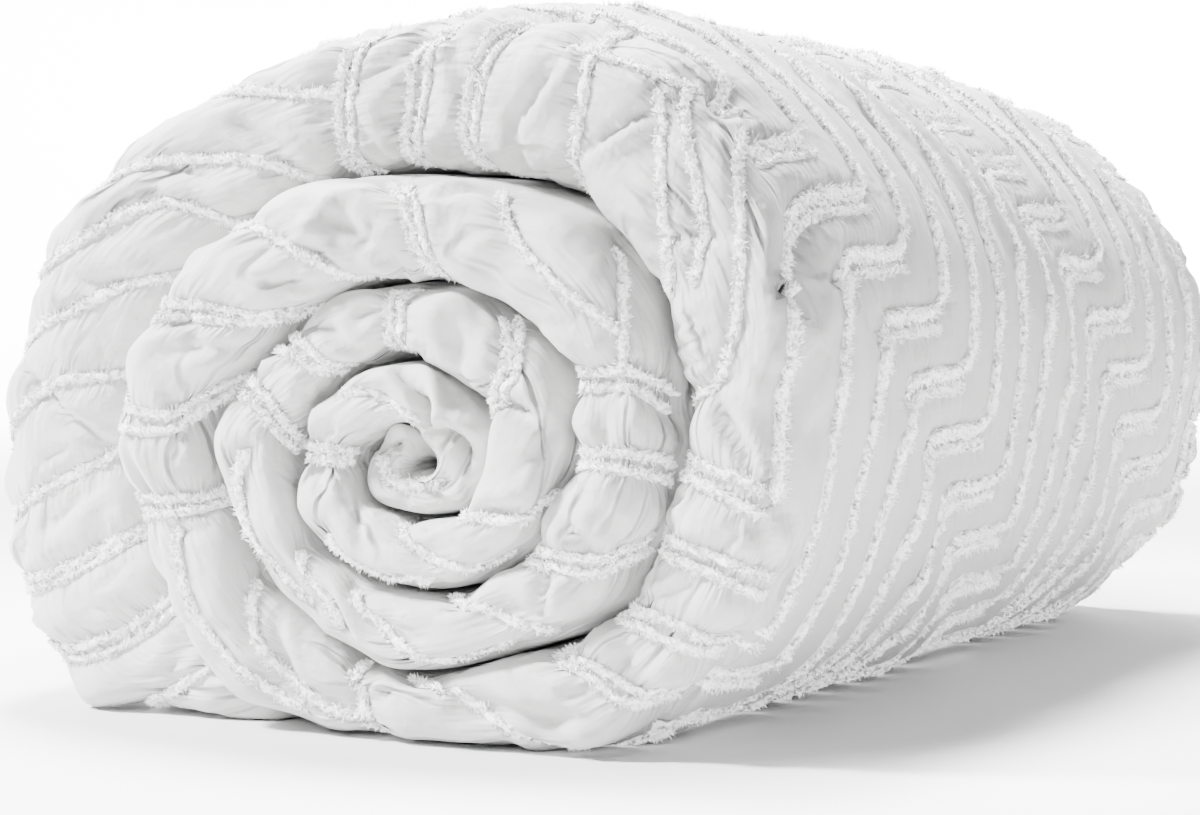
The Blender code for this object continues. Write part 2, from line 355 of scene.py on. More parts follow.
# Welts that run down from the lower corner of every step, unless that lies too near to the folds
WELT_START = (0.006, 0.010)
WELT_LENGTH = 0.125
WELT_DRIFT = 0.030
WELT_CLEAR = 0.012
WELT_HEIGHT = 0.0042
WELT_WIDTH = 0.0046

# Small creases that start at the rows of the front folds, as ranges of each size
PINCH_SHARE = (0.12, 0.85)
PINCH_NEAR = (0.007, 0.011)
PINCH_FAR = (0.022, 0.036)
PINCH_SLANT = (-0.28, 0.28)
PINCH_DEPTH = (0.0018, 0.0042)
PINCH_WIDTH = (0.0034, 0.0048)

# A crease's fade towards its ends, and the lip beside it: its place in half widths and its height
CREASE_FADE = 0.7
LIP_ASIDE = 1.9
LIP_HEIGHT = 0.4

# How the filling rises from a seam, with puckers along the seams that pull hard
SEAM_EVERY = 3
SEAM_NEIGHBOURS = 9
SEAM_ROUND = 0.0070
FILL_ROUND = 0.0190
FILL_SHARE = 0.45
PUCKER_PITCH = 0.0115
PUCKER_REACH = 0.011
PUCKER_START = 0.004
PUCKER_SLANT = 0.2
HARD_PULL = 0.7

# How freely the cloth moves where layers touch
HIDDEN_REACH = 0.014
CONTACT_SHARE = 0.30
SEAM_CONTACT_SHARE = 0.75
OPEN_SHARE = 0.4

# The cloth's own unevenness: how many patterns to a metre, how strong on the side, and how much
# more on the folds
BROAD_LUMPS = 14.0
SMALL_LUMPS = 38.0
BROAD_ON_SIDE, BROAD_ON_FOLD = 0.4, 0.6
SMALL_ON_SIDE, SMALL_ON_FOLD = 0.15, 0.35
WRINKLES = 17.0
WRINKLE_SHIFT = 3.0
WRINKLE_LENGTHENING = 0.8
WRINKLE_DEPTH = 0.0040
WRINKLE_WIDTH = 0.12
WRINKLE_SHARPNESS = 1.5
WRINKLE_CLEAR = 0.014


def unit(vectors):
    """Vectors of length 1, along the last axis of an array."""
    return vectors / np.maximum(np.linalg.norm(vectors, axis=-1, keepdims=True), 1e-9)


def table_curve(turns, column):
    """A smooth curve through one column of the winding table."""
    table = np.array(WINDING)
    known, values = table[:, 0], table[:, column]
    slopes = np.gradient(values, known)
    turns = np.clip(turns, known[0], known[-1])
    at = np.clip(np.searchsorted(known, turns, side="right") - 1, 0, len(known) - 2)
    width = known[at + 1] - known[at]
    part = (turns - known[at]) / width
    rest = 1.0 - part
    ends = values[at] * rest * rest * (1.0 + 2.0 * part) + values[at + 1] * part * part * (3.0 - 2.0 * part)
    return ends + width * part * rest * (slopes[at] * rest - slopes[at + 1] * part)


def outer_radius(turns, scale=1.0):
    """Distance from the curl to the pad's outer face, cut off flat at the floor."""
    down = -np.sin(np.radians(turns))
    floor = np.where(down > LEVEL, CURL_HEIGHT / np.maximum(down, LEVEL), np.inf)
    return np.minimum(table_curve(turns, 1) * scale, floor)


def inner_radius(turns, scale=1.0):
    """Distance from the curl to the pad's inner face."""
    outer = outer_radius(turns, scale)
    has_turn_below = turns - 360.0 >= WINDING[0][0]
    below = np.where(has_turn_below, outer_radius(turns - 360.0, scale) + LAYER_GAP, CORE_HOLE)
    core = np.where(turns < CORE_TURN, outer - CORE_THICKNESS, CORE_HOLE)
    inner = np.maximum(np.maximum(below, core), CORE_HOLE)
    return np.minimum(inner, outer - TIP_THICKNESS)


def draw_in(y):
    """How much the roll narrows towards its two ends."""
    front = np.clip(1.0 - y / SHOULDER, 0.0, 1.0) ** 2
    back = np.clip(1.0 - (ROLL_LENGTH - y) / SHOULDER, 0.0, 1.0) ** 2
    return 1.0 - (1.0 - END_DRAW_IN) * front - (1.0 - BACK_DRAW_IN) * back


def sink(y):
    """How much lower the roll lies towards the back, as a share of its height."""
    return 1.0 - SINK * np.maximum((y - SINK_FROM) / (ROLL_LENGTH - SINK_FROM), 0.0) ** SINK_CURVE


def fold_template(steps, roundness):
    """Across and out, at even distances round a fold from its outer to its inner edge."""
    angle = np.linspace(0.0, math.pi, TEMPLATE_POINTS)
    across = np.sign(np.cos(angle)) * np.abs(np.cos(angle)) ** roundness
    out = np.sin(angle) ** roundness
    way = np.concatenate([[0.0], np.cumsum(np.hypot(np.diff(across), np.diff(out)))])
    at = np.linspace(0.0, way[-1], steps + 1)
    return np.interp(at, way, across), np.interp(at, way, out)


class Winding:
    """Turn and distance along the pad's outer face."""

    def __init__(self):
        self.turns = np.arange(WINDING[0][0], WINDING[-1][0] + TURN_STEP / 2.0, TURN_STEP)
        radius = outer_radius(self.turns)
        step = np.radians(TURN_STEP) * 0.5 * (radius[1:] + radius[:-1])
        self.along = np.concatenate([[0.0], np.cumsum(step)])
        self.end = self.along[-1]

    def turn_at(self, along):
        """The turn at a distance along the pad."""
        return np.interp(along, self.along, self.turns)

    def along_at(self, turn):
        """The distance along the pad at a turn."""
        return np.interp(turn, self.turns, self.along)


class Tube:
    """One stretch of the wound cover, as rows of points round the pad's section.

    Across is the distance over the cloth, equal to the distance from the front on the outer face.
    """

    def __init__(self, first, last, side, crowding=1.0):
        count = int(round((last - first) / ROW))
        self.along = first + (last - first) * np.linspace(0.0, 1.0, count + 1) ** crowding
        self.turn = winding.turn_at(self.along)
        to_end = np.minimum(self.along, winding.end - self.along)
        self.taper = np.sqrt(1.0 - np.clip(1.0 - to_end / TIP_LENGTH, 0.0, TIP_ROUNDNESS) ** 2)
        thickness = outer_radius(self.turn) - inner_radius(self.turn)
        self.depth = np.clip(FOLD_SHARE * thickness, FOLD_DEPTH_MIN, FOLD_DEPTH_MAX)
        wave = np.sin(np.radians(self.turn * 360.0 / BACK_WAVE_TURN))
        self.near = table_curve(self.turn, 2) + self.depth
        self.far = ROLL_LENGTH - BACK_WAVE * (1.0 + wave) - self.depth
        front = self.fold(self.near, 1.0, FOLD_COLUMNS, FOLD_DEPTH_MAX)
        back = self.fold(self.far, -1.0, BACK_COLUMNS, ROLL_LENGTH - FOLD_DEPTH_MAX)
        self.front_way, self.back_way = front[-1][2], back[-1][2]
        under = 0.5 * np.linspace(1.0, 0.0, INNER_COLUMNS + 1)[:-1] ** INNER_CROWDING
        columns = []
        for share in under:
            radius, y = self.face(share, inner_radius)
            columns.append((radius, y, self.near - self.front_way - (y - self.near), 0.0 * y))
        for radius, y, way, crest in reversed(front):
            columns.append((radius, y, self.near - way, crest))
        for share in side[1:-1]:
            radius, y = self.face(share, outer_radius)
            columns.append((radius, y, y, 0.0 * y))
        for radius, y, way, crest in back:
            columns.append((radius, y, self.far + way, crest))
        for share in 1.0 - under[::-1]:
            radius, y = self.face(share, inner_radius)
            columns.append((radius, y, self.far + self.back_way + (self.far - y), 0.0 * y))
        radius, y, self.across, self.crest = (np.stack(part, axis=1) for part in zip(*columns))
        angle = np.radians(self.turn)[:, None]
        x = radius * np.cos(angle)
        z = np.maximum((CURL_HEIGHT + radius * np.sin(angle)) * sink(y), 0.0)
        self.points = np.stack([x + CURL_X, y + FRONT_Y, z], axis=2)
        self.shape = self.points.shape[:2]
        self.along_grid = np.repeat(self.along[:, None], self.shape[1], axis=1)
        first_side = len(under) + FOLD_COLUMNS
        self.outside = np.zeros(self.shape, bool)
        self.outside[:, first_side:first_side + len(side)] = True

    def face(self, share, radius_at):
        """Radius and y on the outer or inner face, at a share of the way from near to far."""
        y = self.near + (self.far - self.near) * share
        scale = draw_in(np.clip(y, FOLD_DEPTH_MAX, ROLL_LENGTH - FOLD_DEPTH_MAX))
        middle = 0.5 * (outer_radius(self.turn, scale) + inner_radius(self.turn, scale))
        return middle + (radius_at(self.turn, scale) - middle) * self.taper, y

    def fold(self, edge, direction, steps, drawn_at):
        """Radius, y, distance over the fold and closeness to its crest, from outside inwards."""
        scale = draw_in(drawn_at)
        outer, inner = outer_radius(self.turn, scale), inner_radius(self.turn, scale)
        middle, half = 0.5 * (outer + inner), 0.5 * (outer - inner) * self.taper
        clear = (CURL_HEIGHT + outer * np.sin(np.radians(self.turn))) / FLOOR_REACH
        mix = np.clip(clear, 0.0, 1.0)
        high, low = fold_template(steps, FOLD_ROUNDNESS), fold_template(steps, FLOOR_ROUNDNESS)
        columns, way = [], np.zeros_like(outer)
        for step in range(steps + 1):
            aside = low[0][step] + (high[0][step] - low[0][step]) * mix
            out = low[1][step] + (high[1][step] - low[1][step]) * mix
            radius, y = middle + half * aside, edge - direction * self.depth * self.taper * out
            if columns:
                way = way + np.hypot(radius - columns[-1][0], y - columns[-1][1])
            columns.append((radius, y, way, np.full_like(outer, math.sin(math.pi * step / steps))))
        return columns

    def normals(self):
        """Outward normals of the rows of points."""
        return unit(np.cross(np.gradient(self.points, axis=1), np.gradient(self.points, axis=0)))


winding = Winding()
side_shares = np.linspace(0.0, 1.0, SIDE_COLUMNS + 1) ** SIDE_CROWDING
tube = Tube(0.0, winding.along_at(WRAP_FROM) - ROW, COVERED, ROW_CROWDING)
wrap = Tube(winding.along_at(WRAP_FROM), winding.end, side_shares)


def edges_at(along):
    """Across at the outer edges of the front and back folds, and the ways over both folds."""
    values = []
    for name in ("near", "far", "front_way", "back_way"):
        low = np.interp(along, tube.along, getattr(tube, name))
        high = np.interp(along, wrap.along, getattr(wrap, name))
        values.append(np.where(np.asarray(along) < wrap.along[0], low, high))
    return values


def over_fold(along, share):
    """Across at a share of the way over the front fold, from 0 inside to 1 outside."""
    near, _, front_way, _ = edges_at(along)
    return near - front_way * (1.0 - np.asarray(share))


def eased(part):
    """A share from 0 to 1 that starts and ends softly."""
    return part * part * (3.0 - 2.0 * part)


def smooth_noise(values, seed):
    """A smooth random curve between -1 and 1, with a new value at every whole number."""
    table = np.random.default_rng(seed).uniform(-1.0, 1.0, CURVE_VALUES)
    whole = np.floor(values).astype(int)
    part = eased(values - whole)
    return table[whole % CURVE_VALUES] * (1.0 - part) + table[(whole + 1) % CURVE_VALUES] * part


def evenly(points):
    """Points at an even spacing along a path."""
    points = np.array(points)
    way = np.concatenate([[0.0], np.cumsum(np.linalg.norm(np.diff(points, axis=0), axis=1))])
    at = np.arange(0.0, way[-1], PATH_STEP)
    return np.stack([np.interp(at, way, points[:, 0]), np.interp(at, way, points[:, 1])], axis=1)


def rounded(corners, radius=CORNER_RADIUS):
    """An even path through corners, rounded at each."""
    corners = [np.array(corner) for corner in corners]
    points = [corners[0]]
    for before, corner, after in zip(corners, corners[1:], corners[2:]):
        into, out = corner - before, after - corner
        reach = min(radius, 0.5 * np.linalg.norm(into), 0.5 * np.linalg.norm(out))
        start = corner - into / np.linalg.norm(into) * reach
        stop = corner + out / np.linalg.norm(out) * reach
        for part in np.linspace(0.0, 1.0, 7):
            points.append((1 - part) ** 2 * start + 2 * part * (1 - part) * corner + part ** 2 * stop)
    return evenly(points + [corners[-1]])


def runs_of(mask):
    """Slices over which a mask holds, short ones left out."""
    change = np.flatnonzero(np.diff(np.concatenate([[0], mask.astype(int), [0]])))
    return [slice(a, b) for a, b in zip(change[::2], change[1::2]) if b - a > FEWEST_POINTS]


class Sewing:
    """The sewn lines that draw the cloth in, and the rows of yarn that they carry."""

    def __init__(self):
        self.seams = []
        self.rows = []
        self.welts = []
        self.tuft_lines()
        self.tuft_front_folds()
        self.tuft_back_folds()

    def shown_runs(self, path, more):
        """Stretches of a path that lie on the outer wrap, where more holds as well."""
        first, last = winding.along_at(LINES_FROM), winding.along_at(LINES_TO)
        near, far, _, _ = edges_at(path[:, 0])
        reach = np.where(path[:, 0] < MET_BELOW, MET_AT, DRAWN_EDGE)
        shown = (path[:, 1] > near - reach) & (path[:, 1] < far + EDGE_REACH)
        return runs_of(shown & (path[:, 0] > first) & (path[:, 0] < last) & more)

    def drawn_over(self, path):
        """A path drawn over towards the front folds below the first step, and where it is sewn."""
        near, _, _, _ = edges_at(path[:, 0])
        part = eased(np.clip((DRAWN_FROM - path[:, 0]) / DRAWN_OVER, 0.0, 1.0))
        part = part * np.exp(-np.maximum(path[:, 1] - near, 0.0) / DRAWN_REACH)
        return path - DRAWN * part[:, None] * (0.0, 1.0), path[:, 1] > near - EDGE_REACH

    def tuft_lines(self):
        """The stepped lines of the outer wrap, with a second row under each step."""
        for line in LINES:
            corners = []
            for step in STEPS:
                along = STEP_ALONG - LINE_FALL * line + LINE_REPEAT * step
                across = FIRST_STEP_Y + LINE_SPACING * line + (LINE_STEP + LINE_SLANT) * step
                corners.append((along - 0.5 * STEP_SLANT, across - LINE_STEP))
                corners.append((along + 0.5 * STEP_SLANT, across))
                self.lower_row(along, across)
            path = rounded(corners)
            way = path[:, 0] / LINE_WANDER_PITCH
            path[:, 1] += LINE_WANDER * smooth_noise(way + LINE_CURVE_SHIFT * line, seed=3)
            path, sewn = self.drawn_over(path)
            turning = np.abs(np.gradient(path[:, 1])) > TURNING_SLOPE * np.abs(np.gradient(path[:, 0]))
            spread = np.full(TURNING_POINTS, 1.0 / TURNING_POINTS)
            for run in self.shown_runs(path, sewn):
                in_front = path[run][:, 1].mean() < LINES_PART_AT * ROLL_LENGTH
                size = 1.0 + STEP_FULLNESS * np.convolve(turning[run], spread, "same")
                self.rows.append(("lines_front" if in_front else "lines_back", path[run], size, LINE_LEAN))
            for run in self.shown_runs(path, sewn & ~turning):
                self.seams.append((path[run], ROW_BED, LINE_PULL))
            for run in self.shown_runs(path, sewn & turning):
                self.seams.append((path[run] - (0.5 * FRINGE_GAP, 0.0), 0.5 * FRINGE_GAP, STEP_PULL))

    def lower_row(self, along, across):
        """The short row below one step, and the welt that runs down from its corner."""
        low, corner = along - FRINGE_GAP, across - LINE_STEP
        path = rounded([
            (low + 0.5 * STEP_SLANT + LOWER_ROW_END[0], across + LOWER_ROW_END[1]),
            (low, across - 0.5 * LINE_STEP),
            (low - 0.5 * STEP_SLANT, corner + LOWER_ROW_BEND),
            (low - 0.5 * STEP_SLANT - LOWER_ROW_TAIL[0], corner + LOWER_ROW_TAIL[1]),
        ])
        path, sewn = self.drawn_over(path)
        for run in self.shown_runs(path, sewn):
            self.rows.append(("steps", path[run], np.full(len(path[run]), LOWER_ROW_SIZE), LOWER_ROW_LEAN))
        start = (low - WELT_START[0], corner + WELT_START[1])
        if start[1] > float(edges_at(start[0])[0]) + WELT_CLEAR:
            self.welts.append((start, (start[0] - WELT_LENGTH, start[1] + WELT_DRIFT)))

    def tuft_front_folds(self):
        """The rows over the front folds."""
        last = winding.along_at(LINES_TO)
        for inner, middle, outer, gap in FRONT_STRIPS:
            share = np.linspace(*STRIP_SHARES, 60)
            bend = 4.0 * share * (1.0 - share)
            along = inner + (outer - inner) * share + (middle - 0.5 * (inner + outer)) * bend
            across = over_fold(along, share)
            if MET_BELOW < outer < last:
                reach = max(self.first_line(outer), across[-1] + STRIP_LEAST_MORE)
                more = np.linspace(across[-1], reach, 12)[1:]
                along = np.concatenate([along, np.full(len(more), along[-1])])
                across = np.concatenate([across, more])
            path = evenly(np.stack([along, across], axis=1))
            self.pair(path, gap, self.fold_group(middle))
        for places in ASKEW_ROWS:
            corners = [(along, float(over_fold(along, share))) for along, share in places]
            self.pair(rounded(corners, ASKEW_RADIUS), 0.0, self.fold_group(places[0][0]))

    def fold_group(self, along):
        """The group of a row over the front folds, by its place along the pad."""
        return "inner_folds" if along < INNER_FOLDS_TO else "outer_folds"

    def tuft_back_folds(self):
        """Even pairs of rows over the back folds."""
        chance = np.random.default_rng(11)
        for number in range(1, int(winding.end / BACK_PITCH)):
            slant, bow = chance.uniform(*BACK_SLANT), chance.uniform(*BACK_BOW)
            part = np.linspace(0.0, 1.0, 40)
            along = number * BACK_PITCH + slant * (part - 0.5) + bow * np.sin(math.pi * part)
            _, far, _, back_way = edges_at(along)
            across = far - BACK_OVERLAP + (back_way + BACK_REACH) * part
            self.pair(evenly(np.stack([along, across], axis=1)), BACK_PAIR_GAP, "back_folds")

    def pair(self, path, gap, group):
        """One row, or two beside each other, and the seams under them."""
        normal = unit(np.gradient(path, axis=0)[:, ::-1] * (1.0, -1.0))
        way = np.arange(len(path)) * PATH_STEP / ROW_SWAY_PITCH
        sway = ROW_SWAY * smooth_noise(way + ROW_CURVE_SHIFT * path[0, 0], seed=5)
        for offset in (-0.5 * gap, 0.5 * gap) if gap else (0.0,):
            row = path + normal * (offset + np.sign(offset) * np.abs(sway) + COMMON_SWAY * sway)[:, None]
            size = np.full(len(row), PAIR_SIZE if gap else SINGLE_SIZE)
            self.rows.append((group, row, size, PAIR_LEAN * np.sign(offset)))
        self.seams.append((path, 0.5 * gap + ROW_BED, PAIR_PULL if gap else SINGLE_PULL))

    def first_line(self, along):
        """Across of the tufted line that lies nearest to the front folds."""
        near = float(edges_at(along)[0])
        places = []
        for line in LINES:
            run = (along - STEP_ALONG + LINE_FALL * line) / LINE_REPEAT
            shift = LINE_STEP * math.floor(run) + LINE_SLANT * run
            places.append(FIRST_STEP_Y + LINE_SPACING * line + shift)
        return min(place for place in places if place > near - EDGE_REACH)

    def measure(self, section):
        """Distance of a section's points from the nearest seam's edge, and that seam's pull and number."""
        nodes = []
        for number, (path, wide, pull) in enumerate(self.seams):
            nodes += [(place[0], place[1], wide, pull, number) for place in path[::SEAM_EVERY]]
        tree = kdtree.KDTree(len(nodes))
        for index, node in enumerate(nodes):
            tree.insert((node[0], node[1], 0.0), index)
        tree.balance()
        found = np.zeros((section.across.size, 3))
        for index, place in enumerate(zip(section.along_grid.ravel(), section.across.ravel())):
            nearest = tree.find_n((*place, 0.0), SEAM_NEIGHBOURS)
            beside_seams = [(distance - nodes[node][2], *nodes[node][3:]) for _, node, distance in nearest]
            found[index] = min(beside_seams, key=lambda item: item[0])
        clear, pull, number = (found[:, part].reshape(section.shape) for part in range(3))
        return np.maximum(clear, 0.0), pull, number


sewing = Sewing()


def beside(section, start, stop, width):
    """How near a section's points lie to a straight crease and to its lip, fading at its ends."""
    start, stop = np.array(start, float), np.array(stop, float)
    way = stop - start
    length = np.linalg.norm(way)
    way /= length
    along = section.along[:, None] - start[0]
    across = section.across - start[1]
    run = (along * way[0] + across * way[1]) / length
    aside = along * way[1] - across * way[0]
    fade = np.clip(4.0 * run * (1.0 - run), 0.0, 1.0) ** CREASE_FADE
    return np.exp(-(aside / width) ** 2) * fade, np.exp(-(aside / width - LIP_ASIDE) ** 2) * fade


def pinches():
    """Small creases that start at the rows of the front folds and run askew into the panels."""
    chance = np.random.default_rng(23)
    found = []
    for _, middle, _, _ in FRONT_STRIPS:
        for way in (-1.0, -1.0, 1.0, 1.0):
            share = chance.uniform(*PINCH_SHARE)
            near, far = chance.uniform(*PINCH_NEAR), chance.uniform(*PINCH_FAR)
            slant = chance.uniform(*PINCH_SLANT)
            deep, width = chance.uniform(*PINCH_DEPTH), chance.uniform(*PINCH_WIDTH)
            found.append((middle + way * near, share, middle + way * far, share + slant, deep, width))
    return found


def pressed(section):
    """Depth of the folds and welts that lie in a section's cloth."""
    depth = np.zeros(section.shape)
    for along, share, along_end, share_end, deep, width in (*CREASES, *pinches()):
        start = (along, float(over_fold(along, share)))
        stop = (along_end, float(over_fold(along_end, share_end)))
        trough, lip = beside(section, start, stop, width)
        depth += deep * (trough - LIP_HEIGHT * lip)
    if section is wrap:
        for start, stop in sewing.welts:
            ridge, _ = beside(section, start, stop, WELT_WIDTH)
            depth -= WELT_HEIGHT * ridge * section.outside
    return depth


def openness(section):
    """How free a section's points are to swell and to be drawn in, and how far they lie on a fold."""
    y = section.points[:, :, 1] - FRONT_Y
    inside = np.minimum(y - section.near[:, None], section.far[:, None] - y)
    hidden = np.exp(-np.maximum(inside, 0.0) / HIDDEN_REACH)
    on_fold = np.where(inside < 0.0, 1.0, hidden)
    outer = np.zeros(section.shape, bool)
    if section is wrap:
        edge = section.near - OPEN_SHARE * section.front_way
        outer = section.outside | (section.across > edge[:, None])
    free, seam_free = (
        np.where(outer, 1.0, (least + (1.0 - least) * section.crest) * hidden)
        for least in (CONTACT_SHARE, SEAM_CONTACT_SHARE)
    )
    return free, seam_free, on_fold


def noise_at(places):
    """Smooth solid noise at every place of a grid."""
    values = [noise.noise(Vector(place)) for place in places.reshape(-1, 3)]
    return np.array(values).reshape(places.shape[:2])


def puckered(section):
    """Height of the puckers beside a section's seams, from -1 to 1."""
    clear, pull, number = section.field
    askew = section.across + PUCKER_SLANT * section.along_grid
    run = np.where(section.outside, section.across, askew)
    wave = smooth_noise(run / PUCKER_PITCH + SEAM_CURVE_SHIFT * number, seed=7)
    start = np.clip(clear / PUCKER_START, 0.0, 1.0)
    return start * np.exp(-clear / PUCKER_REACH) * wave * (pull > HARD_PULL)


def wrinkled(section, lumps, on_fold):
    """Depth of the wrinkles over the folds, where the filling stands high and clear of the seams."""
    x, y, z = np.moveaxis(section.points, 2, 0)
    turned = np.stack([z + WRINKLE_SHIFT, x * WRINKLE_LENGTHENING, y * WRINKLE_LENGTHENING], axis=2)
    fold = np.clip(1.0 - np.abs(noise_at(turned * WRINKLES)) / WRINKLE_WIDTH, 0.0, 1.0)
    high = np.clip(2.0 * lumps + 0.5, 0.0, 1.0)
    apart = np.clip(section.field[0] / WRINKLE_CLEAR, 0.0, 1.0)
    return WRINKLE_DEPTH * on_fold * fold ** WRINKLE_SHARPNESS * high * apart


def filled(section, sizes):
    """The points of a section, drawn in at the seams and uneven between them."""
    clear, pull, _ = section.field
    free, seam_free, on_fold = openness(section)
    height = sizes.side_puff + (sizes.fold_puff - sizes.side_puff) * on_fold
    sharp, broad = np.exp(-clear / SEAM_ROUND), np.exp(-clear / FILL_ROUND)
    hollow = height * pull * (sharp + FILL_SHARE * on_fold * (broad - sharp))
    lumps, small = noise_at(section.points * BROAD_LUMPS), noise_at(section.points * SMALL_LUMPS)
    uneven = lumps * (BROAD_ON_SIDE + BROAD_ON_FOLD * on_fold)
    uneven += small * (SMALL_ON_SIDE + SMALL_ON_FOLD * on_fold)
    at_seams = (hollow - sizes.pucker * puckered(section)) * seam_free
    between = (pressed(section) + wrinkled(section, lumps, on_fold) - sizes.uneven * uneven) * free
    points = section.points - section.normals() * (at_seams + between)[:, :, None]
    points[:, :, 2] = np.maximum(points[:, :, 2], 0.0)
    points[:, -1] = points[:, 0]
    return points


def add_section(mesh, section, points, first):
    """A grid of faces through a section's points, closed along its hidden inner side."""
    rows, cols = section.shape
    place = mesh.verts.layers.int["place"]
    grid = bmesh.ops.create_grid(mesh, x_segments=cols - 1, y_segments=rows - 1, size=0.5)["verts"]
    ring = []
    for vert in grid:
        row = round((vert.co.y + 0.5) * (rows - 1))
        col = round((vert.co.x + 0.5) * (cols - 1))
        vert[place] = first + row * cols + col
        vert.co = points[row, col]
        if col in (0, cols - 1):
            ring.append(vert)
    bmesh.ops.remove_doubles(mesh, verts=ring, dist=MERGE_DISTANCE)


def linear(code):
    """An sRGB hex colour as linear red, green, blue and alpha."""
    values = [int(code[place:place + 2], 16) / 255.0 for place in (0, 2, 4)]
    return tuple(v / 12.92 if v <= 0.04045 else ((v + 0.055) / 1.055) ** 2.4 for v in values) + (1.0,)


def add_node(tree, kind, settings=None, links=None, **values):
    """A node with its settings, socket values and links from other nodes' outputs."""
    node = tree.nodes.new("ShaderNode" + kind)
    for name, value in (settings or {}).items():
        setattr(node, name, value)
    for name, value in values.items():
        node.inputs[name.replace("_", " ")].default_value = value
    for name, socket in (links or {}).items():
        tree.links.new(socket, node.inputs[name])
    return node


def new_material(name, **values):
    """A material, its node tree and its surface shader with some socket values set."""
    material = bpy.data.materials.new(name)
    material.use_nodes = True
    shader = material.node_tree.nodes["Principled BSDF"]
    for socket, value in values.items():
        shader.inputs[socket.replace("_", " ")].default_value = value
    return material, material.node_tree, shader


def add_attribute(mesh, name, kind, values):
    """A value or a vector for every vertex of a mesh."""
    field = "vector" if kind == "FLOAT_VECTOR" else "value"
    mesh.attributes.new(name, kind, "POINT").data.foreach_set(field, values.astype(np.float32).ravel())


def read_places(mesh):
    """The number of the row and column that every vertex of the cover came from."""
    index = np.zeros(len(mesh.vertices), int)
    mesh.attributes["place"].data.foreach_get("value", index)
    return index


def new_piece(name, mesh, material):
    """An object at the origin that holds a mesh, in the scene's collection."""
    piece = bpy.data.objects.new(name, mesh)
    bpy.context.scene.collection.objects.link(piece)
    mesh.materials.append(material)
    return piece


def loose_creases(tree, cloth):
    """Sharp creases about 50 mm apart, in patches, where the cloth lies loose over the folds."""
    askew = add_node(tree, "Mapping", None, {"Vector": cloth},
                     Rotation=(0.0, 0.0, 0.6), Scale=(8.0, 30.0, 1.0))
    lines = add_node(tree, "TexNoise", None, {"Vector": askew.outputs["Vector"]},
                     Scale=1.0, Detail=1.0, Roughness=0.4)
    middle = add_node(tree, "Math", {"operation": "SUBTRACT"}, {0: lines.outputs["Fac"]})
    middle.inputs[1].default_value = 0.5
    away = add_node(tree, "Math", {"operation": "ABSOLUTE"}, {0: middle.outputs["Value"]})
    trough = add_node(tree, "MapRange", {"interpolation_type": "SMOOTHSTEP"},
                      {"Value": away.outputs["Value"]}, From_Min=0.0, From_Max=0.060, To_Min=1.0, To_Max=0.0)
    patches = add_node(tree, "TexNoise", None, {"Vector": cloth}, Scale=9.0, Detail=0.0)
    patch = add_node(tree, "MapRange", {"interpolation_type": "SMOOTHSTEP"},
                     {"Value": patches.outputs["Fac"]}, From_Min=0.46, From_Max=0.60, To_Min=0.0, To_Max=-1.0)
    loose = add_node(tree, "Attribute", {"attribute_name": "loose"})
    share = add_node(tree, "Math", {"operation": "MULTIPLY"},
                     {0: patch.outputs["Result"], 1: loose.outputs["Fac"]})
    creases = add_node(tree, "Math", {"operation": "MULTIPLY"},
                       {0: trough.outputs["Result"], 1: share.outputs["Value"]})
    return creases.outputs["Value"]


def brushed_cotton(color):
    """Cotton cover, woven fine and brushed: soft and matte, drawn into fine pleats beside the seams."""
    material, tree, shader = new_material("brushed_cotton_cover", Base_Color=color, Roughness=0.68,
                                          Sheen_Weight=0.15, Sheen_Roughness=0.45)
    cloth = add_node(tree, "UVMap", {"uv_map": "cloth"}).outputs["UV"]
    # threads would be 0.2 mm apart and are drawn at 1.2 mm, the finest that shows
    warp, weft = (
        add_node(tree, "TexWave", {"bands_direction": way}, {"Vector": cloth},
                 Scale=260.0, Distortion=1.5, Detail=1.0)
        for way in "XY"
    )
    weave = add_node(tree, "Math", {"operation": "ADD"},
                     {0: warp.outputs["Fac"], 1: weft.outputs["Fac"]})
    # small crumples 8 mm across
    crumple = add_node(tree, "TexNoise", None, {"Vector": cloth}, Scale=120.0, Detail=1.0)
    # pleats 5 mm apart and 30 mm long, which run along the pad
    drawn = add_node(tree, "Mapping", None, {"Vector": cloth}, Scale=(30.0, 200.0, 1.0))
    pleats = add_node(tree, "TexNoise", None, {"Vector": drawn.outputs["Vector"]},
                      Scale=1.0, Detail=1.0, Roughness=0.4)
    creases = loose_creases(tree, cloth)
    near = add_node(tree, "Attribute", {"attribute_name": "pleated"})
    held = add_node(tree, "Math", {"operation": "MULTIPLY"},
                    {0: pleats.outputs["Fac"], 1: near.outputs["Fac"]})
    below = {}
    for height, strength, distance in (
        (weave.outputs["Value"], 0.10, 0.0003),
        (crumple.outputs["Fac"], 0.5, 0.0018),
        (held.outputs["Value"], 1.0, 0.006),
        (creases, 1.0, 0.003),
    ):
        layer = add_node(tree, "Bump", None, {"Height": height, **below},
                         Strength=strength, Distance=distance)
        below = {"Normal": layer.outputs["Normal"]}
    tree.links.new(below["Normal"], shader.inputs["Normal"])
    return material


# A painted glow on the yarn's ends, which stands for the light that loose fibres pass on to each other
FIBRE_GLOW = 1.5
# how much of a row's shading is that of the cloth it stands on, because loose fibres spread the light
SHADED_AS_CLOTH = 0.62
# painted shade of the yarn in the pits, as a share of its colour
PIT_SHADE = 0.72


